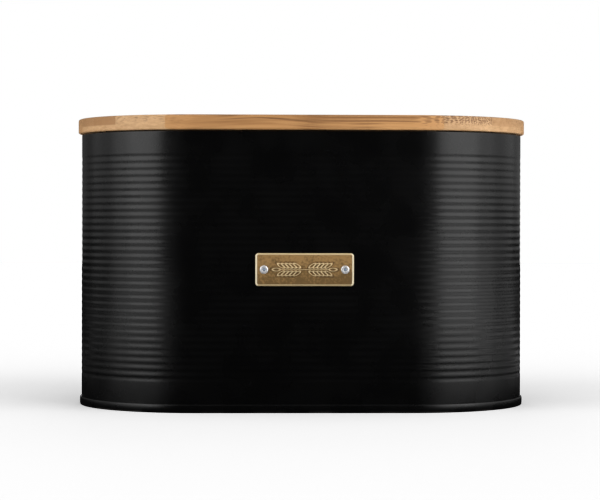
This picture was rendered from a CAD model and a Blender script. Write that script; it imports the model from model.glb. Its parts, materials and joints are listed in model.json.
import json
import math
import random

import bmesh
import bpy
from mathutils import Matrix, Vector


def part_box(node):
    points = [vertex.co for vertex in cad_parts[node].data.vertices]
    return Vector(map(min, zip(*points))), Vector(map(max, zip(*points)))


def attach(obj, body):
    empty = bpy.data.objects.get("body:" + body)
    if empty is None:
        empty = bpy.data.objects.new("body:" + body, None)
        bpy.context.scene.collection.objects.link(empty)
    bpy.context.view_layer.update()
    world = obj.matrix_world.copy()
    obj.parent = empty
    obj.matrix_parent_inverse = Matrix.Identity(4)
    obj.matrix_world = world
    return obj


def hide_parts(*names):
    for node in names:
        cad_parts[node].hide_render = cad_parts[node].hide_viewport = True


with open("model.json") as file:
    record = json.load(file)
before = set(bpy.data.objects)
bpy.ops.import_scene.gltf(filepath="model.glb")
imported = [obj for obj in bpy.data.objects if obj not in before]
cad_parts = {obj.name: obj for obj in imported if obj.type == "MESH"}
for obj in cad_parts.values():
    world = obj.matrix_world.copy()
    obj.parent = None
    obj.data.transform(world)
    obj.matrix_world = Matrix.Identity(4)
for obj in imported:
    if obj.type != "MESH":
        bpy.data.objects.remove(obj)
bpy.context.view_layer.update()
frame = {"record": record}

# The bread bin's looks, in metres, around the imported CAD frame.
# +X is along the length, -Y is the front with the label plate, +Z is up.

MM = 0.001

# Nodes of the two boards, front to back
BODIES = frame["record"]["behaviour"]["bodies"]
LID_STRIPS = [node for node in BODIES["lid"] if node.startswith("lid_strip")]
PLY_STRIPS = [node for node in BODIES["lid"] if node.startswith("ply_strip")]

# Driving dimensions, read from the frame
BASE_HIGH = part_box("base_pan")[1]
WALL_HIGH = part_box("body_wall")[1]
LID_UNDERSIDE, LID_TOP = (corner.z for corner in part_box(LID_STRIPS[0]))
LID_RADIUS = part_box(LID_STRIPS[-1])[1].y
PLY_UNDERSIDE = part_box(PLY_STRIPS[0])[0].z
PLY_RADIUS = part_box(PLY_STRIPS[-1])[1].y
SEAL_LOW, SEAL_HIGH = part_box("lid_seal")
PLATE_LOW, PLATE_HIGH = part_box("label_plate")
END_X = BASE_HIGH.x - BASE_HIGH.y

# Sheet steel, mouth curl and folded seam
SHEET = 0.35 * MM
LAYER = 0.37 * MM
WALL_RADIUS = WALL_HIGH.y - 2 * LAYER - SHEET / 2
CURL_RADIUS = 1.3 * MM
CURL_TURN = 300
CURL_Z = WALL_HIGH.z - CURL_RADIUS - SHEET / 2
SEAM_HEIGHT = 5.8 * MM
SEAM_CORNER = 0.4 * MM
SEAM_LEAN = 9.0
SEAM_FLAT = 4 * LAYER - 2 * SEAM_CORNER
HOOK_END_GAP = 0.3 * MM
BODY_HOOK_Z = SHEET / 2 + 2 * LAYER
COVER_HOOK_Z = SEAM_HEIGHT - SHEET / 2 - LAYER

# Rolled grooves
GROOVES = 33
GROOVE_PITCH = 4.92 * MM
GROOVE_DEPTH = 0.17 * MM
FIRST_GROOVE_Z = 181.1 * MM
GROOVES_TOP = FIRST_GROOVE_Z + GROOVE_PITCH / 2
GROOVES_BOTTOM = GROOVES_TOP - GROOVES * GROOVE_PITCH
GROOVE_SLOPE = math.degrees(2 * math.atan(2 * GROOVE_DEPTH / GROOVE_PITCH))
GROOVE_ARC = GROOVE_PITCH / (4 * math.sin(math.radians(GROOVE_SLOPE)))

# Base panel
PANEL_Z = 5.0 * MM
PANEL_CORNER = 1.0 * MM
PANEL_RIM_FLAT = 7.0 * MM
PANEL_STEP = BASE_HIGH.z - SHEET / 2 - PANEL_Z
PANEL_STEP_ARC = 1.5 * MM
PANEL_STEP_TURN = math.degrees(math.acos(1 - PANEL_STEP / (2 * PANEL_STEP_ARC)))

# Lap joint at the middle of the back
LAP_HALF = 4.0 * MM
LAP_EDGE_WIDTH = 0.15 * MM
LAP_EDGE_DEPTH = 0.12 * MM
LAP_MARGIN = 4.0 * MM
LAP_STEP = 0.02 * MM

# Mesh fineness
MERGE_DISTANCE = 0.002 * MM
SHARP_ANGLE = 40
BEND_STEP = 6.0
SUPPORT = 0.3 * MM
END_STEPS = 56
STRAIGHT_STEPS = 6
STRIP_STEPS = 28
LATHE_STEPS = 48
ARC_STEPS = 8

# Bamboo boards
LID_ROUND = 1.3 * MM
PLY_ROUND = 1.0 * MM
ROUND_STEPS = 5
GLUE_GAP = 0.05 * MM
SEAL_GROOVE_DEPTH = 2.0 * MM

# Seal: its band, and the two lips at heights above and below its middle
SEAL_BAND_PROUD = 0.5 * MM
SEAL_BEVEL_DEPTH = 0.2 * MM
SEAL_BEVEL_RISE = 0.1 * MM
LIP_ROOT_HIGH = 1.5 * MM
LIP_ROOT_LOW = 0.6 * MM
LIP_TIP_HIGH = 1.3 * MM
LIP_TIP_LOW = 0.9 * MM
LIP_TIP_ROUND = 0.15 * MM

# Bamboo: the grain's drift, its marks (knuckles in mm) and where a strip's left and right looks meet
FIBRE_DRIFT = 9 * MM
DOT_SOFTNESS = 0.16
KNUCKLE_WANDER = 6
SIDES_MEET = 30 * MM
LEFT_FADE = (-82 * MM, -99 * MM)
RIGHT_FADE = (12 * MM, 52 * MM)
BAMBOO_SEED = 7

# A strip's pale and brown kinds of bamboo, each a light and a dark colour
PALE_BAMBOO = ((0.575, 0.36, 0.186), (0.45, 0.262, 0.118))
BROWN_BAMBOO = ((0.45, 0.225, 0.078), (0.28, 0.122, 0.035))

# Looks of the lid's front strips, from the front: share is how brown, the rest as bamboo() says
FRONT_LOOKS = (
    {
        "share": 0.9, "knuckles": (2, 44), "dots": (0.05, 0.65), "band": (0.0, 0.0),
        "fade": (0.4, 0.8), "lines": 0.8,
    },
    {"share": 0.12, "knuckles": (-20,), "dots": (0.0, 0.95), "band": (0.0, 0.0)},
    {"share": 0.2, "dots": (0.05, 0.1), "band": (0.9, 0.45)},
    {"share": 0.2, "band": (0.75, 0.3)},
)

# Blind rivets, and their holes in the wall and the label plate
RIVET_HOLE_RADIUS = 1.65 * MM
RIVET_HOLE_REACH = 8.0 * MM
RIVET_BORE = 1.0 * MM
RIVET_SHANK = 1.6 * MM
RIVET_BULB = 2.4 * MM
RIVET_BULB_LENGTH = 3.0 * MM
RIVET_BULB_FULLNESS = 0.5
RIVET_DISH = 1.55 * MM
RIVET_DISH_DEPTH = 0.6 * MM
RIVET_BRIM = 0.25 * MM
RIVET_EDGE = 0.2 * MM
FINE_ROUND = 0.05 * MM

# Rivet pins. The broken tip is an outline of radius and depth in mm
PIN_TIP = ((0, 0), (0.25, 0.03), (0.35, 0.12), (0.75, 0.16), (0.95, 0.3))
PIN_HEAD_LENGTH = 1.2 * MM
PIN_HEAD_BEVEL = 0.1 * MM
PIN_DOME = 0.15 * MM
PIN_DOME_SHARE = 0.8

# Label plate, with two ears of wheat drawn in raised lines
PLATE_SHEET = 0.5 * MM
PLATE_RIM = 1.3 * MM
PLATE_CORNER = 2.2 * MM
PLATE_CELL = 0.22 * MM
PLATE_EDGE = 0.1 * MM
PLATE_BACK_INSET = 0.6 * MM
PLATE_INNER_CORNER = 0.4 * MM
RIM_FULLNESS = 0.8

# The wheat ears' sizes, in mm
GRAIN_PAIRS = 5
FIRST_GRAIN = 5.5
GRAIN_PITCH = 2.8
GRAIN_OFFSET = 2.7
GRAIN_ANGLE = 32.0
GRAIN_LENGTH = 5.4
GRAIN_WIDTH = 2.1
STEM_LENGTH = 20.0
RIDGE_RISE = 0.3
RIDGE_WIDTH = 0.25
MOAT_OFFSET = 0.62
MOAT_DEPTH = 0.08

# How many times its own size a grain's relief reaches
GRAIN_REACH = 2.5

# Studio: the room's strength on dull surfaces and in reflections, and the ring of lamps round the bin
ROOM_LIGHT = 0.15
ROOM_REFLECTION = 0.005
LIGHT_AIM = 0.11
RING_ELEVATION = 25
RING_DISTANCE = 1.6
RING_HEIGHT = 1.5
GLOW_DISTANCE = 0.75
GLOW_WIDTH_SHARE = 0.45
GLOW_DEPTH = 0.7
GLOW_HEIGHT = 2 * MM
FLOOR_HALF = 6.0

# Camera
SENSOR_WIDTH = 36.0
CAMERA_LENS = 124.04
CAMERA_DISTANCE = 1.547
CAMERA_HEIGHT = 0.1301
CAMERA_SIDE = -0.00104
CAMERA_TURN = math.radians(1.47)
CAMERA_TILT = math.radians(0.59)
CAMERA_ROLL = math.radians(-0.11)


# Meshes

def clean_mesh(name, vertices, faces):
    """A mesh with double vertices merged and all faces turned outwards."""
    mesh = bpy.data.meshes.new(name)
    mesh.from_pydata([tuple(v) for v in vertices], [], faces)
    cleaner = bmesh.new()
    cleaner.from_mesh(mesh)
    bmesh.ops.remove_doubles(cleaner, verts=cleaner.verts, dist=MERGE_DISTANCE)
    bmesh.ops.recalc_face_normals(cleaner, faces=cleaner.faces)
    cleaner.to_mesh(mesh)
    cleaner.free()
    return mesh


def add_piece(name, vertices, faces, material, body, slot, *nodes, sharp=SHARP_ANGLE):
    """Makes a piece of the model: smooths it between sharp edges and puts it on its body."""
    mesh = clean_mesh(name, vertices, faces)
    mesh.shade_smooth()
    mesh.set_sharp_from_angle(angle=math.radians(sharp))
    mesh.materials.append(material)
    piece = bpy.data.objects.new(name, mesh)
    bpy.context.scene.collection.objects.link(piece)
    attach(piece, body)
    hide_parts(*nodes)
    return piece


def ring_faces(rings, size, closed_path=True, open_side=None):
    """Quads between neighbouring rings of vertices, each ring a closed loop with at most one open side."""
    faces = []
    for ring in range(rings if closed_path else rings - 1):
        here = ring * size
        there = (ring + 1) % rings * size
        for k in range(size):
            if k == open_side:
                continue
            after = (k + 1) % size
            faces.append((here + k, here + after, there + after, there + k))
    return faces


def walk_sheet(radius, height, heading, moves):
    """Middle line of a bent sheet, as points (radius, height, heading).

    A move is (length, 0) for a straight stretch or (radius, angle) for a bend.
    """
    stations = [(radius, height, heading)]
    for size, angle in moves:
        r, z, h = stations[-1]
        if angle == 0:
            c, s = math.cos(math.radians(h)), math.sin(math.radians(h))
            support = min(SUPPORT, size / 3)
            for step in (support, size - support, size):
                stations.append((r + c * step, z + s * step, h))
            continue
        side = math.copysign(1, angle)
        centre = beside((r, z, h), side * size)
        steps = max(2, math.ceil(abs(angle) / BEND_STEP))
        for k in range(1, steps + 1):
            turned = h + angle * k / steps
            r, z = beside((*centre, turned), -side * size)
            stations.append((r, z, turned))
    return stations


def beside(station, offset):
    """The point at an offset to the left of the heading."""
    r, z, heading = station
    return r - math.sin(math.radians(heading)) * offset, z + math.cos(math.radians(heading)) * offset


def sheet_loop(stations, left=lambda z: SHEET / 2, right=lambda z: SHEET / 2):
    """Closed outline of a sheet from its middle line and its two surfaces' offsets at each height."""
    out = [beside(s, left(s[1])) for s in stations]
    back = [beside(s, -right(s[1])) for s in reversed(stations)]
    return out + back


def oblong_path(back_marks=()):
    """Stations once round the oblong: (spine x, direction, mark), with extra ones along the back."""
    path = []
    plain = [END_X * (1 - 2 * k / STRAIGHT_STEPS) for k in range(1, STRAIGHT_STEPS)]
    if back_marks:
        plain = [x for x in plain if abs(x) > LAP_HALF + LAP_EDGE_WIDTH]
    back = sorted([(x, "plain") for x in plain] + list(back_marks), key=lambda m: -m[0])
    for k in range(END_STEPS + 1):
        path.append((END_X, -90 + 180 * k / END_STEPS, "plain"))
    path += [(x, 90, mark) for x, mark in back]
    for k in range(END_STEPS + 1):
        path.append((-END_X, 90 + 180 * k / END_STEPS, "plain"))
    for k in range(1, STRAIGHT_STEPS):
        path.append((-END_X * (1 - 2 * k / STRAIGHT_STEPS), 270, "plain"))
    return path


def sweep(path, loops, open_side=None):
    """Carries the loop of each station's mark round the path."""
    vertices = []
    for x, direction, mark in path:
        c, s = math.cos(math.radians(direction)), math.sin(math.radians(direction))
        vertices += [(x + c * r, s * r, z) for r, z in loops[mark]]
    return vertices, ring_faces(len(path), len(loops["plain"]), open_side=open_side)


def lathe(profile, x, y, z):
    """Turns a profile of (radius, height) round an axis that points to the front from (x, y, z)."""
    vertices = []
    for k in range(LATHE_STEPS):
        angle = 2 * math.pi * k / LATHE_STEPS
        for radius, height in profile:
            vertices.append((x + radius * math.cos(angle), y - height, z + radius * math.sin(angle)))
    axis_side = len(profile) - 1 if profile[0][0] == 0 else None
    return vertices, ring_faces(LATHE_STEPS, len(profile), open_side=axis_side)


def drill_rivet_holes(piece, sharp=SHARP_ANGLE):
    """Cuts the holes for both rivets' shanks through a piece at the front of the bin."""
    ends = (-RIVET_HOLE_REACH, RIVET_HOLE_REACH)
    profile = [(0, ends[0]), (RIVET_HOLE_RADIUS, ends[0]), (RIVET_HOLE_RADIUS, ends[1]), (0, ends[1])]
    for side in ("left", "right"):
        low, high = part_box(f"rivet_{side}")
        vertices, faces = lathe(profile, (low.x + high.x) / 2, PLATE_HIGH.y, (low.z + high.z) / 2)
        drill = bpy.data.objects.new("drill", clean_mesh("drill", vertices, faces))
        bpy.context.scene.collection.objects.link(drill)
        cut = piece.modifiers.new("hole", "BOOLEAN")
        cut.operation = "DIFFERENCE"
        cut.solver = "EXACT"
        cut.object = drill
        evaluated = piece.evaluated_get(bpy.context.evaluated_depsgraph_get())
        piece.data = bpy.data.meshes.new_from_object(evaluated)
        piece.modifiers.clear()
        bpy.data.objects.remove(drill)
    piece.data.set_sharp_from_angle(angle=math.radians(sharp))


def groove_moves():
    """The run of grooves, for a middle line that heads down the wall."""
    moves = [(GROOVE_ARC, -GROOVE_SLOPE)]
    for number in range(GROOVES):
        moves.append((GROOVE_ARC, 2 * GROOVE_SLOPE))
        if number < GROOVES - 1:
            moves.append((GROOVE_ARC, -2 * GROOVE_SLOPE))
    return moves + [(GROOVE_ARC, -GROOVE_SLOPE)]


def make_wall(material):
    """Body wall from the mouth's curl down its grooves to the hook in the seam, lapped at the back."""
    turn = math.radians(CURL_TURN)
    start_r = WALL_RADIUS - CURL_RADIUS + CURL_RADIUS * math.cos(turn)
    start_z = CURL_Z + CURL_RADIUS * math.sin(turn)
    moves = [(CURL_RADIUS, -CURL_TURN), (CURL_Z - GROOVES_TOP, 0)]
    moves += groove_moves()
    moves += [(GROOVES_BOTTOM - BODY_HOOK_Z, 0), (LAYER, 180)]
    moves += [(COVER_HOOK_Z - HOOK_END_GAP - BODY_HOOK_Z, 0)]
    line = walk_sheet(start_r, start_z, CURL_TURN - 90, moves)

    def in_lap(z):
        return GROOVES_BOTTOM - LAP_MARGIN < z < GROOVES_TOP + LAP_MARGIN

    loops = {
        "plain": sheet_loop(line),
        "lap": sheet_loop(line, right=lambda z: SHEET * (1.5 if in_lap(z) else 0.5)),
        "edge": sheet_loop(line, left=lambda z: SHEET / 2 - (LAP_EDGE_DEPTH if in_lap(z) else 0)),
    }
    marks = [(-LAP_HALF, "lap"), (LAP_HALF, "lap")]
    marks += [(-LAP_HALF - LAP_STEP, "plain"), (LAP_HALF + LAP_STEP, "edge")]
    marks += [(LAP_HALF + LAP_EDGE_WIDTH, "edge"), (LAP_HALF + LAP_EDGE_WIDTH + LAP_STEP, "plain")]
    vertices, faces = sweep(oblong_path(marks), loops)
    drill_rivet_holes(add_piece("wall", vertices, faces, material, "bin", "black_coat", "body_wall"))


def make_base(material):
    """Base pan: hook inside the seam, barrelled outer side, foot, upstand, rim and stepped panel."""
    inner_corner_z = SHEET / 2 + SEAM_CORNER
    lean = math.radians(SEAM_LEAN)
    side_top = COVER_HOOK_Z + LAYER * math.sin(lean)
    side_foot = SHEET / 2 + SEAM_CORNER * (1 - math.sin(lean))
    barrel = (side_top - side_foot) / (2 * math.sin(lean))
    foot = SEAM_FLAT + SEAM_CORNER * (1 - math.cos(lean)) - LAYER * (1 - math.cos(lean))
    moves = [(COVER_HOOK_Z - BODY_HOOK_Z - HOOK_END_GAP, 0), (LAYER, SEAM_LEAN - 180)]
    moves += [(barrel, -2 * SEAM_LEAN), (SEAM_CORNER, SEAM_LEAN - 90), (foot, 0), (SEAM_CORNER, -90)]
    moves += [(PANEL_Z - PANEL_CORNER - inner_corner_z, 0), (PANEL_CORNER, 90), (PANEL_RIM_FLAT, 0)]
    moves += [(PANEL_STEP_ARC, -PANEL_STEP_TURN), (PANEL_STEP_ARC, PANEL_STEP_TURN)]
    line = walk_sheet(WALL_RADIUS + LAYER, BODY_HOOK_Z + HOOK_END_GAP, 90, moves)
    r, z, heading = line[-1]
    line += [(r - SUPPORT, z, heading), (0, z, heading)]
    vertices, faces = sweep(oblong_path(), {"plain": sheet_loop(line)}, open_side=len(line) - 1)
    return add_piece("base", vertices, faces, material, "bin", "black_coat", "base_pan")


def make_seal(material):
    """A band in the ply's groove with two lips that lean out towards the mouth's curl."""
    inner = PLY_RADIUS - SEAL_GROOVE_DEPTH
    middle = (SEAL_LOW.z + SEAL_HIGH.z) / 2
    half = (SEAL_HIGH.z - SEAL_LOW.z) / 2
    band = PLY_RADIUS + SEAL_BAND_PROUD
    tip = SEAL_HIGH.y
    shoulder = tip - LIP_TIP_ROUND
    lip = [(band, LIP_ROOT_HIGH), (shoulder, LIP_TIP_HIGH + LIP_TIP_ROUND), (tip, LIP_TIP_HIGH)]
    lip += [(tip, LIP_TIP_LOW), (shoulder, LIP_TIP_LOW - LIP_TIP_ROUND), (band, LIP_ROOT_LOW)]
    side = [(PLY_RADIUS, half), (band - SEAL_BEVEL_DEPTH, half - SEAL_BEVEL_RISE)] + lip
    loop = [(inner, middle + half)] + [(r, middle + z) for r, z in side]
    loop += [(r, middle - z) for r, z in reversed(side)] + [(inner, middle - half)]
    vertices, faces = sweep(oblong_path(), {"plain": loop})
    return add_piece("seal", vertices, faces, material, "lid", "seal_silicone", "lid_seal", sharp=50)


def board_ring(radius, front, back, z):
    """Outline of a sawn strip of an oblong board: right-hand end front to back, then left-hand end."""
    first = math.asin(max(front, -radius) / radius)
    last = math.asin(min(back, radius) / radius)
    right = []
    for k in range(STRIP_STEPS + 1):
        angle = first + (last - first) * k / STRIP_STEPS
        right.append((END_X + radius * math.cos(angle), radius * math.sin(angle), z))
    left = [(-x, y, z) for x, y, z in reversed(right)]
    return right + left


def rounded_edge(z, size, upwards):
    """Insets and heights of a rounded board edge, from the flat face to the upright side."""
    steps = [(size + SUPPORT, z), (size, z)]
    for k in range(1, ROUND_STEPS + 1):
        angle = math.radians(90 * k / ROUND_STEPS)
        rise = size * (1 - math.cos(angle))
        steps.append((size * (1 - math.sin(angle)), z + rise if upwards else z - rise))
    rise = size + SUPPORT
    return steps + [(0, z + rise if upwards else z - rise)]


def make_strip(name, node, radius, profile, material):
    """One sawn strip of a board, drawn back by half a glue joint where it meets its neighbours."""
    low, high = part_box(node)
    front = low.y + GLUE_GAP / 2 if low.y > -radius + GLUE_GAP else -radius
    back = high.y - GLUE_GAP / 2 if high.y < radius - GLUE_GAP else radius
    vertices = []
    for inset, z in profile:
        vertices += board_ring(radius - inset, front, back, z)
    size = 2 * (STRIP_STEPS + 1)
    faces = ring_faces(len(profile), size, closed_path=False)
    faces.append(tuple(range(size)))
    faces.append(tuple(range(len(vertices) - size, len(vertices))))
    return add_piece(name, vertices, faces, material, "lid", "bamboo", node)


def lid_profile():
    """Side of the lid board, rounded below and above."""
    return rounded_edge(LID_UNDERSIDE, LID_ROUND, True) + rounded_edge(LID_TOP, LID_ROUND, False)[::-1]


def ply_profile():
    """Side of the lower ply: rounded below, with the seal's groove round it."""
    groove = [(0, SEAL_LOW.z), (SEAL_GROOVE_DEPTH, SEAL_LOW.z)]
    groove += [(SEAL_GROOVE_DEPTH, SEAL_HIGH.z), (0, SEAL_HIGH.z)]
    return rounded_edge(PLY_UNDERSIDE, PLY_ROUND, True) + groove + [(0, LID_UNDERSIDE)]


def rounded_rectangle_point(u, v, half_u, half_v, corner):
    """Moves a point of a rectangle's edge onto the same rectangle with round corners."""
    core_u, core_v = half_u - corner, half_v - corner
    du, dv = abs(u) - core_u, abs(v) - core_v
    if du <= 0 or dv <= 0:
        return u, v
    length = math.hypot(du, dv)
    return (
        math.copysign(core_u + du / length * corner, u),
        math.copysign(core_v + dv / length * corner, v),
    )


def ridge_height(distance):
    """Height in millimetres of a pressed line, with a moat on both sides, at a distance from its middle."""
    ridge = math.exp(-((distance / RIDGE_WIDTH) ** 2))
    moat = math.exp(-(((abs(distance) - MOAT_OFFSET) / RIDGE_WIDTH) ** 2))
    return RIDGE_RISE * ridge - MOAT_DEPTH * moat


def grain_height(u, v, centre_u, centre_v, angle):
    """Raised outline of one grain, in millimetres."""
    c, s = math.cos(math.radians(angle)), math.sin(math.radians(angle))
    along = (u - centre_u) * c + (v - centre_v) * s
    across = -(u - centre_u) * s + (v - centre_v) * c
    level = math.hypot(along / (GRAIN_LENGTH / 2), across / (GRAIN_WIDTH / 2))
    if level > GRAIN_REACH:
        return 0
    return ridge_height((level - 1) * GRAIN_WIDTH / 2)


def motif_height(u, v):
    """Relief of the two wheat ears, which point apart from the middle of the plate, in millimetres."""
    u = abs(u)
    height = 0
    if u < STEM_LENGTH - GRAIN_LENGTH / 2:
        height = ridge_height(v)
    height = max(height, grain_height(u, v, STEM_LENGTH, 0, 0), key=abs)
    for number in range(GRAIN_PAIRS):
        centre = FIRST_GRAIN + number * GRAIN_PITCH
        for side in (-1, 1):
            grain = grain_height(u, v, centre, side * GRAIN_OFFSET, side * GRAIN_ANGLE)
            height = max(height, grain, key=abs)
    return height


def make_plate(material):
    """Label plate: flat back, raised round rim and a fine face with the relief of the wheat ears."""
    centre = (PLATE_LOW + PLATE_HIGH) / 2
    half_u = (PLATE_HIGH.x - PLATE_LOW.x) / 2
    half_v = (PLATE_HIGH.z - PLATE_LOW.z) / 2
    thick = PLATE_HIGH.y - PLATE_LOW.y
    rise = thick - PLATE_SHEET
    columns = round(2 * (half_u - PLATE_RIM) / PLATE_CELL)
    rows = round(2 * (half_v - PLATE_RIM) / PLATE_CELL)
    edge = [(i, 0) for i in range(columns)] + [(columns, j) for j in range(rows)]
    edge += [(i, rows) for i in range(columns, 0, -1)] + [(0, j) for j in range(rows, 0, -1)]

    def place(i, j, inset, out):
        wide, tall = half_u - inset, half_v - inset
        u, v = wide * (2 * i / columns - 1), tall * (2 * j / rows - 1)
        if i in (0, columns) or j in (0, rows):
            u, v = rounded_rectangle_point(u, v, wide, tall, max(PLATE_CORNER - inset, PLATE_INNER_CORNER))
        return centre.x + u, PLATE_HIGH.y - out, centre.z + v

    rim = PLATE_RIM + PLATE_EDGE
    profile = [(PLATE_BACK_INSET, 0), (PLATE_EDGE, 0), (0, PLATE_EDGE), (0, PLATE_SHEET)]
    for k in range(ARC_STEPS + 1):
        angle = math.radians(180 * k / ARC_STEPS)
        middle = PLATE_RIM / 2
        inset = middle - middle * math.cos(angle)
        profile.append((inset, PLATE_SHEET + rise * math.sin(angle) ** RIM_FULLNESS))
    profile.append((rim, PLATE_SHEET))
    vertices = []
    for inset, out in profile:
        vertices += [place(i, j, inset, out) for i, j in edge]
    faces = ring_faces(len(profile), len(edge), closed_path=False)
    faces.append(tuple(range(len(edge))))
    first = len(vertices)
    for j in range(rows + 1):
        for i in range(columns + 1):
            x, y, z = place(i, j, rim, PLATE_SHEET)
            height = motif_height((x - centre.x) / MM, (z - centre.z) / MM) * MM
            vertices.append((x, y - height, z))
    for j in range(rows):
        for i in range(columns):
            k = first + j * (columns + 1) + i
            faces.append((k, k + 1, k + columns + 2, k + columns + 1))
    piece = add_piece("plate", vertices, faces, material, "bin", "label_brass", "label_plate", sharp=60)
    drill_rivet_holes(piece, sharp=60)


def make_rivet(side, material):
    """Blind rivet: domed head with a dished middle, shank through plate and wall, swollen blind end."""
    low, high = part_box(f"rivet_{side}")
    x, z = (low.x + high.x) / 2, (low.z + high.z) / 2
    plate_face = PLATE_HIGH.y - PLATE_SHEET
    head = plate_face - low.y
    blind = plate_face - high.y
    head_radius = (high.x - low.x) / 2
    dish_floor = head - RIVET_DISH_DEPTH
    profile = [(RIVET_BORE, blind), (RIVET_BORE, dish_floor)]
    profile += [(RIVET_DISH - 3 * FINE_ROUND, dish_floor + FINE_ROUND), (RIVET_DISH, dish_floor + RIVET_BRIM)]
    profile += [(RIVET_DISH + 2 * FINE_ROUND, head - FINE_ROUND)]
    brim = RIVET_DISH + RIVET_BRIM
    for k in range(ARC_STEPS + 1):
        angle = math.radians(90 * k / ARC_STEPS)
        radius = brim + (head_radius - brim) * math.sin(angle)
        profile.append((radius, RIVET_EDGE + (head - RIVET_EDGE) * math.cos(angle)))
    profile += [(head_radius, FINE_ROUND), (head_radius - FINE_ROUND, 0), (RIVET_SHANK, 0)]
    profile += [(RIVET_SHANK, blind + RIVET_BULB_LENGTH)]
    middle = RIVET_BULB_LENGTH / 2
    for k in range(ARC_STEPS + 1):
        angle = math.radians(180 * k / ARC_STEPS)
        radius = RIVET_SHANK + (RIVET_BULB - RIVET_SHANK) * math.sin(angle) ** RIVET_BULB_FULLNESS
        profile.append((radius, blind + middle + middle * math.cos(angle)))
    vertices, faces = lathe(profile, x, plate_face, z)
    return add_piece(f"rivet_head_{side}", vertices, faces, material, "bin", "rivet_metal", f"rivet_{side}")


def make_pin(side, material):
    """Mandrel left in the rivet: a broken tip in the head's dish and a round head at the blind end."""
    low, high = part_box(f"rivet_pin_{side}")
    x, z = (low.x + high.x) / 2, (low.z + high.z) / 2
    length = high.y - low.y
    pin_head = (high.x - low.x) / 2
    shoulder = PIN_HEAD_LENGTH - length
    profile = [(radius * MM, -depth * MM) for radius, depth in PIN_TIP]
    profile += [(profile[-1][0], shoulder), (pin_head - PIN_HEAD_BEVEL, shoulder)]
    profile += [(pin_head, shoulder - PIN_HEAD_BEVEL), (pin_head, shoulder - PIN_HEAD_LENGTH / 2)]
    profile += [(PIN_DOME_SHARE * pin_head, PIN_DOME - length), (0, -length)]
    vertices, faces = lathe(profile, x, low.y, z)
    node = f"rivet_pin_{side}"
    return add_piece(f"pin_{side}", vertices, faces, material, "bin", "pin_steel", node)


# Materials

class Finish:
    """A node material under construction. Its positions are in the frame the CAD shares, in metres."""

    def __init__(self, name):
        self.material = bpy.data.materials.new(name)
        self.material.use_nodes = True
        self.nodes = self.material.node_tree.nodes
        self.links = self.material.node_tree.links
        self.shader = self.nodes["Principled BSDF"]
        self.place = self.node("ShaderNodeTexCoord").outputs["Object"]

    def node(self, kind, **settings):
        made = self.nodes.new(kind)
        for key, value in settings.items():
            setattr(made, key, value)
        return made

    def feed(self, socket, value):
        """Links an output to a socket, or sets the socket to a plain value."""
        if isinstance(value, bpy.types.NodeSocket):
            self.links.new(value, socket)
        else:
            socket.default_value = value

    def stretched(self, sizes, shift=(0, 0, 0), place=None):
        """Positions divided by a feature size in millimetres along each axis."""
        mapping = self.node("ShaderNodeMapping")
        self.feed(mapping.inputs["Vector"], self.place if place is None else place)
        mapping.inputs["Scale"].default_value = [1 / (MM * size) for size in sizes]
        mapping.inputs["Location"].default_value = shift
        return mapping.outputs["Vector"]

    def noise(self, vector, detail=3.0, roughness=0.5, distortion=0.0):
        texture = self.node("ShaderNodeTexNoise")
        self.feed(texture.inputs["Vector"], vector)
        texture.inputs["Scale"].default_value = 1.0
        texture.inputs["Detail"].default_value = detail
        texture.inputs["Roughness"].default_value = roughness
        texture.inputs["Distortion"].default_value = distortion
        return texture.outputs["Fac"]

    def cells(self, vector, randomness=1.0):
        """Distance from the nearest of the scattered middles of flat cells."""
        texture = self.node("ShaderNodeTexVoronoi", voronoi_dimensions="2D")
        self.feed(texture.inputs["Vector"], vector)
        texture.inputs["Scale"].default_value = 1.0
        texture.inputs["Randomness"].default_value = randomness
        return texture.outputs["Distance"]

    def maths(self, operation, first, second=0.0, third=0.0):
        """One operation on up to three numbers."""
        step = self.node("ShaderNodeMath", operation=operation)
        for socket, value in zip(step.inputs, (first, second, third)):
            self.feed(socket, value)
        return step.outputs[0]

    def remap(self, value, low, high, to_low=0.0, to_high=1.0):
        """Smooth step from one range to another."""
        step = self.node("ShaderNodeMapRange", interpolation_type="SMOOTHSTEP")
        for name, number in (("Value", value), ("From Min", low), ("From Max", high)):
            self.feed(step.inputs[name], number)
        self.feed(step.inputs["To Min"], to_low)
        self.feed(step.inputs["To Max"], to_high)
        return step.outputs["Result"]

    def mix(self, factor, first, second, blend="MIX"):
        mixer = self.node("ShaderNodeMix", data_type="RGBA", blend_type=blend)
        self.feed(mixer.inputs[0], factor)
        self.feed(mixer.inputs[6], first)
        self.feed(mixer.inputs[7], second)
        return mixer.outputs[2]

    def axis(self, letter):
        """One coordinate of the position, in metres."""
        parts = self.node("ShaderNodeSeparateXYZ")
        self.feed(parts.inputs[0], self.place)
        return parts.outputs[letter]

    def bump(self, height, depth, normal=None, strength=1.0):
        """Surface relief: height 0 to 1 stands for depth in metres."""
        relief = self.node("ShaderNodeBump")
        relief.inputs["Strength"].default_value = strength
        relief.inputs["Distance"].default_value = depth
        self.feed(relief.inputs["Height"], height)
        if normal is not None:
            self.feed(relief.inputs["Normal"], normal)
        return relief.outputs["Normal"]

    def surface(self, **values):
        """Sets or links the shader's own sockets by name, with _ for a space."""
        for name, value in values.items():
            self.feed(self.shader.inputs[name.replace("_", " ")], value)
        return self.material


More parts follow.
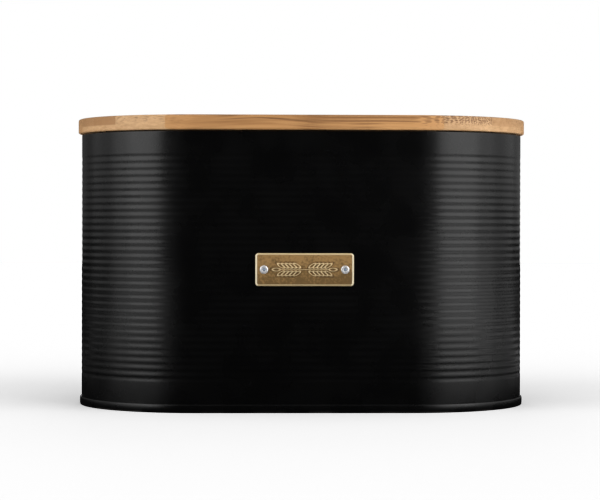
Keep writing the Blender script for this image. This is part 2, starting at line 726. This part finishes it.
def black_coat():
    """Satin black powder coat: a fine peel, uneven gloss and rubbed spots where the bin stands."""
    finish = Finish("black_coat")
    cloud = finish.noise(finish.stretched((24, 24, 24)), detail=4)
    peel = finish.noise(finish.stretched((0.9, 0.9, 0.9)), detail=2)
    grit = finish.noise(finish.stretched((0.28, 0.28, 0.28)), detail=1)
    foot = finish.remap(finish.axis("Z"), 0.9 * MM, 0.0)
    rubbed = finish.maths("MULTIPLY", foot, finish.remap(cloud, 0.45, 0.6))
    colour = finish.mix(cloud, (0.0006, 0.0006, 0.0007, 1), (0.0012, 0.0012, 0.0013, 1))
    colour = finish.mix(rubbed, colour, (0.045, 0.043, 0.04, 1))
    relief = finish.bump(peel, 0.006 * MM)
    relief = finish.bump(grit, 0.0015 * MM, relief)
    roughness = finish.remap(cloud, 0.3, 0.7, 0.25, 0.30)
    return finish.surface(Base_Color=colour, Roughness=roughness, Normal=relief, Specular_IOR_Level=0.5)


def tint(colour, red, green, blue):
    """A colour with its channels scaled."""
    return [colour[0] * red, colour[1] * green, colour[2] * blue, 1]


def wavering(finish, shift):
    """Positions that drift up and down a little, so that the fibres aren't quite straight."""
    waver = finish.noise(finish.stretched((90, 60, 60), shift), detail=1)
    lift = finish.maths("MULTIPLY", finish.maths("SUBTRACT", waver, 0.5), FIBRE_DRIFT)
    drift = finish.node("ShaderNodeCombineXYZ")
    finish.feed(drift.inputs["Z"], lift)
    wavy = finish.node("ShaderNodeVectorMath", operation="ADD")
    finish.feed(wavy.inputs[0], finish.place)
    finish.feed(wavy.inputs[1], drift.outputs[0])
    return wavy.outputs[0]


def bundle_ends(finish, place, height, shift):
    """Dots in the strip's cross-section where fibre bundles end, larger towards the top of the board."""
    across = finish.node("ShaderNodeSeparateXYZ")
    finish.feed(across.inputs[0], place)
    section = finish.node("ShaderNodeCombineXYZ")
    finish.feed(section.inputs["X"], across.outputs["Y"])
    finish.feed(section.inputs["Y"], across.outputs["Z"])
    bundle = finish.cells(finish.stretched((1.05, 0.85, 1.0), shift, section.outputs[0]), randomness=0.6)
    size = finish.remap(height, 0.1, 0.75, 0.16, 0.46)
    return finish.remap(bundle, size, finish.maths("SUBTRACT", size, DOT_SOFTNESS))


def add_knuckle(finish, colour, place, along, seam, shift, halo_colour, scar_colour):
    """A knuckle across the strip: a thin scar in a halo that follows the dark lines."""
    wander = finish.noise(finish.stretched((9, 3, 3), shift), detail=3)
    middle = -(place + KNUCKLE_WANDER / 2) * MM
    offset = finish.maths("MULTIPLY_ADD", wander, KNUCKLE_WANDER * MM, middle)
    distance = finish.maths("ABSOLUTE", finish.maths("ADD", along, offset))
    scar = finish.remap(distance, 1.6 * MM, 0.1 * MM, 0.0, 0.06)
    halo = finish.remap(distance, 16 * MM, 2 * MM, 0.0, 0.55)
    halo = finish.maths("MULTIPLY", halo, finish.remap(seam, 0.48, 0.62))
    colour = finish.mix(halo, colour, halo_colour)
    return finish.mix(scar, colour, scar_colour)


def bamboo(name, light, dark, shift, knuckles, dots, band, fade, lines):
    """Caramel bamboo with its fibres along X.

    shift moves the pattern and knuckles are places along X in mm. dots are the strengths of the fibre
    bundles' dark ends at the left and the right, and band is the same for a browner upper layer. fade is
    how much paler the strip is at its two ends and lines is the strength of the dark lines along it.
    """
    finish = Finish(name)
    along = finish.axis("X")
    height = finish.remap(finish.axis("Z"), LID_UNDERSIDE, LID_TOP)
    wavy = wavering(finish, shift)
    fibre = finish.noise(finish.stretched((70, 0.5, 0.5), shift, wavy), detail=5, roughness=0.6)
    streak = finish.noise(finish.stretched((60, 2.6, 1.6), shift, wavy), detail=3)
    seam = finish.noise(finish.stretched((55, 1.9, 0.8), shift, wavy), detail=2)
    cloud = finish.noise(finish.stretched((60, 12, 9), shift), detail=2)
    paler = tint(light, 1.12, 1.12, 1.12)
    browner = tint(dark, 0.78, 0.70, 0.62)
    darkest = tint(dark, 0.38, 0.28, 0.22)

    def left_to_right(strengths):
        return finish.remap(along, -SIDES_MEET, SIDES_MEET, *strengths)

    colour = finish.mix(finish.remap(streak, 0.34, 0.68, 0.1, 0.85), light, dark)
    colour = finish.mix(finish.remap(cloud, 0.42, 0.72, 0.0, 0.4), colour, paler)
    colour = finish.mix(finish.remap(fibre, 0.52, 0.72, 0.0, 0.5), colour, browner)
    line = finish.remap(height, 0.3, 0.95, 0.15, lines)
    line = finish.maths("MULTIPLY", finish.remap(seam, 0.54, 0.64), line)
    colour = finish.mix(line, colour, tint(browner, 0.55, 0.55, 0.55))
    layer = finish.maths("MULTIPLY", finish.remap(height, 0.26, 0.40), left_to_right(band))
    colour = finish.mix(layer, colour, browner)
    colour = finish.mix(finish.remap(along, *LEFT_FADE, 0.0, fade[0]), colour, paler)
    colour = finish.mix(finish.remap(along, *RIGHT_FADE, 0.0, fade[1]), colour, paler)
    dot = finish.maths("MULTIPLY", bundle_ends(finish, wavy, height, shift), left_to_right(dots))
    colour = finish.mix(dot, colour, darkest)
    for place in knuckles:
        halo = tint(browner, 0.7, 0.7, 0.7)
        colour = add_knuckle(finish, colour, place, along, seam, shift, halo, darkest)
    relief = finish.bump(fibre, 0.02 * MM)
    relief = finish.bump(dot, -0.02 * MM, relief)
    roughness = finish.remap(fibre, 0.3, 0.7, 0.42, 0.56)
    return finish.surface(Base_Color=colour, Roughness=roughness, Normal=relief, Specular_IOR_Level=0.4)


def brass():
    """Antique pressed brass: cloudy brown patina that gathers in the hollows, rims rubbed bright."""
    finish = Finish("label_brass")
    cloud = finish.noise(finish.stretched((9, 9, 9)), detail=4)
    grain = finish.noise(finish.stretched((0.55, 0.55, 0.55)), detail=3)
    mottle = finish.noise(finish.stretched((1.6, 1.6, 1.6)), detail=4)
    depth = finish.axis("Y")
    face = PLATE_HIGH.y - PLATE_SHEET
    drop = finish.remap(finish.axis("Z"), PLATE_HIGH.z, PLATE_LOW.z, 0.0, 0.32)
    tarnish = finish.maths("ADD", finish.maths("MULTIPLY", cloud, 0.5), mottle)
    tarnish = finish.remap(finish.maths("ADD", tarnish, drop), 0.66, 1.12)
    colour = finish.mix(tarnish, (0.45, 0.265, 0.098, 1), (0.20, 0.118, 0.041, 1))
    sunk = finish.remap(depth, face + 0.01 * MM, face + 0.09 * MM)
    colour = finish.mix(sunk, colour, (0.11, 0.06, 0.022, 1))
    rubbed = finish.remap(depth, face - 0.12 * MM, face - 0.24 * MM)
    rise = finish.remap(finish.axis("Z"), PLATE_LOW.z + PLATE_RIM, PLATE_HIGH.z - PLATE_RIM)
    polish = finish.mix(rise, (0.58, 0.44, 0.24, 1), (0.96, 0.76, 0.43, 1))
    middle_x = (PLATE_LOW.x + PLATE_HIGH.x) / 2
    half_x = (PLATE_HIGH.x - PLATE_LOW.x) / 2
    aside = finish.maths("ABSOLUTE", finish.maths("SUBTRACT", finish.axis("X"), middle_x))
    end = finish.remap(aside, half_x - 1.6 * PLATE_RIM, half_x - PLATE_RIM)
    polish = finish.mix(end, polish, (1.0, 0.88, 0.62, 1))
    colour = finish.mix(rubbed, colour, polish)
    relief = finish.bump(grain, 0.05 * MM)
    relief = finish.bump(mottle, 0.05 * MM, relief)
    rough = finish.remap(mottle, 0.3, 0.7, 0.42, 0.56)
    roughness = finish.maths("MULTIPLY_ADD", rubbed, -0.14, rough)
    return finish.surface(Base_Color=colour, Metallic=0.5, Roughness=roughness, Normal=relief)


def bare_metal(name, light, dark, rough):
    """Turned bare metal with fine scratches and patches of duller gloss."""
    finish = Finish(name)
    patch = finish.noise(finish.stretched((1.1, 1.1, 1.1)), detail=4)
    scratch = finish.noise(finish.stretched((0.9, 0.9, 0.08)), detail=2)
    colour = finish.mix(patch, light, dark)
    relief = finish.bump(scratch, 0.004 * MM)
    roughness = finish.remap(patch, 0.3, 0.7, rough - 0.06, rough + 0.08)
    return finish.surface(Base_Color=colour, Metallic=0.6, Roughness=roughness, Normal=relief)


def silicone():
    """Milky silicone rubber with a dusty, uneven sheen."""
    finish = Finish("seal_silicone")
    dust = finish.noise(finish.stretched((3, 3, 3)), detail=5)
    grain = finish.noise(finish.stretched((0.4, 0.4, 0.4)), detail=2)
    colour = finish.mix(dust, (0.74, 0.73, 0.69, 1), (0.60, 0.58, 0.53, 1))
    relief = finish.bump(grain, 0.006 * MM)
    roughness = finish.remap(dust, 0.3, 0.7, 0.45, 0.65)
    finish.shader.inputs["Subsurface Weight"].default_value = 0.25
    finish.shader.inputs["Subsurface Radius"].default_value = (1.2 * MM, 1.0 * MM, 0.8 * MM)
    return finish.surface(Base_Color=colour, Roughness=roughness, Normal=relief)


# Stage

def add_floor():
    """A white table that shows only the bin's soft shadow."""
    finish = Finish("floor")
    speck = finish.noise(finish.stretched((400, 400, 400)), detail=2)
    colour = finish.mix(speck, (0.93, 0.93, 0.93, 1), (0.97, 0.97, 0.97, 1))
    material = finish.surface(Base_Color=colour, Roughness=0.9, Specular_IOR_Level=0.1)
    mesh = bpy.data.meshes.new("floor")
    corners = [(x * FLOOR_HALF, y * FLOOR_HALF, 0) for x, y in ((-1, -1), (1, -1), (1, 1), (-1, 1))]
    mesh.from_pydata(corners, [], [(0, 1, 2, 3)])
    mesh.materials.append(material)
    floor = bpy.data.objects.new("floor", mesh)
    bpy.context.scene.collection.objects.link(floor)
    floor.is_shadow_catcher = True
    floor.visible_glossy = False


def add_world():
    """White to the camera, a dark room to reflections and a dim even room to everything else."""
    world = bpy.data.worlds.new("studio")
    bpy.context.scene.world = world
    world.use_nodes = True
    world.cycles.sampling_method = "NONE"
    nodes, links = world.node_tree.nodes, world.node_tree.links
    rays = nodes.new("ShaderNodeLightPath")

    def room(strength):
        background = nodes.new("ShaderNodeBackground")
        background.inputs["Color"].default_value = (1, 1, 1, 1)
        background.inputs["Strength"].default_value = strength
        return background.outputs[0]

    def choose(ray, otherwise, chosen):
        mixer = nodes.new("ShaderNodeMixShader")
        links.new(rays.outputs[ray], mixer.inputs[0])
        links.new(otherwise, mixer.inputs[1])
        links.new(chosen, mixer.inputs[2])
        return mixer.outputs[0]

    indoors = choose("Is Glossy Ray", room(ROOM_LIGHT), room(ROOM_REFLECTION))
    seen = choose("Is Camera Ray", indoors, room(1.0))
    links.new(seen, nodes["World Output"].inputs["Surface"])


def add_lamp(name, location, rotation, size, radiance):
    """A rectangular area light that the camera doesn't see."""
    light = bpy.data.lights.new(name, "AREA")
    light.shape = "RECTANGLE"
    light.size, light.size_y = size
    light.energy = radiance * math.pi * size[0] * size[1]
    lamp = bpy.data.objects.new(name, light)
    bpy.context.scene.collection.objects.link(lamp)
    lamp.location = location
    lamp.rotation_euler = rotation
    lamp.visible_camera = False
    return lamp


def add_softbox(name, azimuth, elevation, distance, size, radiance):
    """A softbox that faces the bin. Azimuth is in degrees from the front, to the right."""
    turn, lift = math.radians(azimuth), math.radians(elevation)
    flat = Vector((math.sin(turn), -math.cos(turn), 0))
    towards = flat * math.cos(lift) + Vector((0, 0, math.sin(lift)))
    location = Vector((0, 0, LIGHT_AIM)) + towards * distance
    return add_lamp(name, location, (-towards).to_track_quat("-Z", "Y").to_euler(), size, radiance)


def add_table_glow(name, azimuth, width, radiance):
    """Light that a bright patch of the table sends up at the bin."""
    turn = math.radians(azimuth)
    location = (GLOW_DISTANCE * math.sin(turn), -GLOW_DISTANCE * math.cos(turn), GLOW_HEIGHT)
    add_lamp(name, location, (math.pi, 0, turn), (width, GLOW_DEPTH), radiance)


def add_lights():
    """Tall softboxes round the bin, each with its table glow, and a fill that gives no reflections."""
    # Name, azimuth, width, radiance and the radiance of the glow
    ring = (
        ("key_left", -55.5, 0.98, 2.0, 0.9),
        ("key_right", 53, 1.23, 2.2, 1.7),
        ("side_left", -80.5, 0.48, 1.15, 0.5),
        ("side_right", 84, 0.6, 1.05, 0.9),
        ("wing_left", -106, 1.0, 0.4, 0.1),
        ("wing_right", 111.5, 1.0, 0.5, 0.4),
        ("rear_left", -140, 1.0, 0.1, 0.02),
        ("rear_right", 145, 1.0, 0.18, 0.04),
    )
    for name, azimuth, width, radiance, glow in ring:
        add_softbox(name, azimuth, RING_ELEVATION, RING_DISTANCE, (width, RING_HEIGHT), radiance)
        add_table_glow(f"{name}_glow", azimuth, width * GLOW_WIDTH_SHARE, glow)
    add_softbox("back", 180, RING_ELEVATION, RING_DISTANCE, (0.7, RING_HEIGHT), 0.9)
    add_softbox("overhead", 0, 88, 1.8, (1.6, 1.2), 0.6)
    fill = add_softbox("fill", 0, 42, 2.0, (2.0, 1.4), 1.6)
    fill.visible_glossy = False


def add_camera():
    """Camera in front of the bin and a little above its middle, turned, tilted and rolled slightly."""
    camera = bpy.data.objects.new("camera", bpy.data.cameras.new("camera"))
    bpy.context.scene.collection.objects.link(camera)
    camera.data.sensor_width = SENSOR_WIDTH
    camera.data.lens = CAMERA_LENS
    along = Vector((math.sin(CAMERA_TURN), math.cos(CAMERA_TURN), 0))
    camera.location = -CAMERA_DISTANCE * along + Vector((CAMERA_SIDE, 0, CAMERA_HEIGHT))
    camera.rotation_euler = (math.radians(90) - CAMERA_TILT, CAMERA_ROLL, -CAMERA_TURN)
    bpy.context.scene.camera = camera


def make_boards():
    """The lid board and the lower ply, strip by strip, each with its own piece of bamboo."""
    draw = random.Random(BAMBOO_SEED)
    for number, node in enumerate(LID_STRIPS + PLY_STRIPS, 1):
        look = {
            "share": draw.uniform(0.0, 0.9),
            "knuckles": (draw.uniform(-140, 140),),
            "dots": (draw.uniform(0.0, 0.4), draw.uniform(0.0, 0.4)),
            "band": (draw.choice((0.0, 0.0, 0.6)),) * 2,
            "fade": (0.0, 0.0),
            "lines": 0.6,
        }
        if number <= len(FRONT_LOOKS):
            look.update(FRONT_LOOKS[number - 1])
        share = look.pop("share")
        light, dark = (
            [a + (b - a) * share for a, b in zip(*pair)] + [1] for pair in zip(PALE_BAMBOO, BROWN_BAMBOO)
        )
        shift = [draw.uniform(-20, 20) for _ in range(3)]
        material = bamboo(f"bamboo_{number}", light, dark, shift, **look)
        if node in LID_STRIPS:
            make_strip(f"lid_board_{number}", node, LID_RADIUS, lid_profile(), material)
        else:
            make_strip(f"ply_board_{number - len(LID_STRIPS)}", node, PLY_RADIUS, ply_profile(), material)


def main():
    """Builds the bread bin piece by piece, then the stage round it."""
    add_camera()
    coat = black_coat()
    make_wall(coat)
    make_base(coat)
    make_plate(brass())
    aluminium = bare_metal("rivet_metal", (0.92, 0.92, 0.92, 1), (0.78, 0.78, 0.80, 1), 0.24)
    steel = bare_metal("pin_steel", (0.36, 0.43, 0.54, 1), (0.18, 0.23, 0.31, 1), 0.42)
    for side in ("left", "right"):
        make_rivet(side, aluminium)
        make_pin(side, steel)
    make_boards()
    make_seal(silicone())
    add_floor()
    add_world()
    add_lights()
    bpy.context.scene.view_settings.view_transform = "Standard"


main()
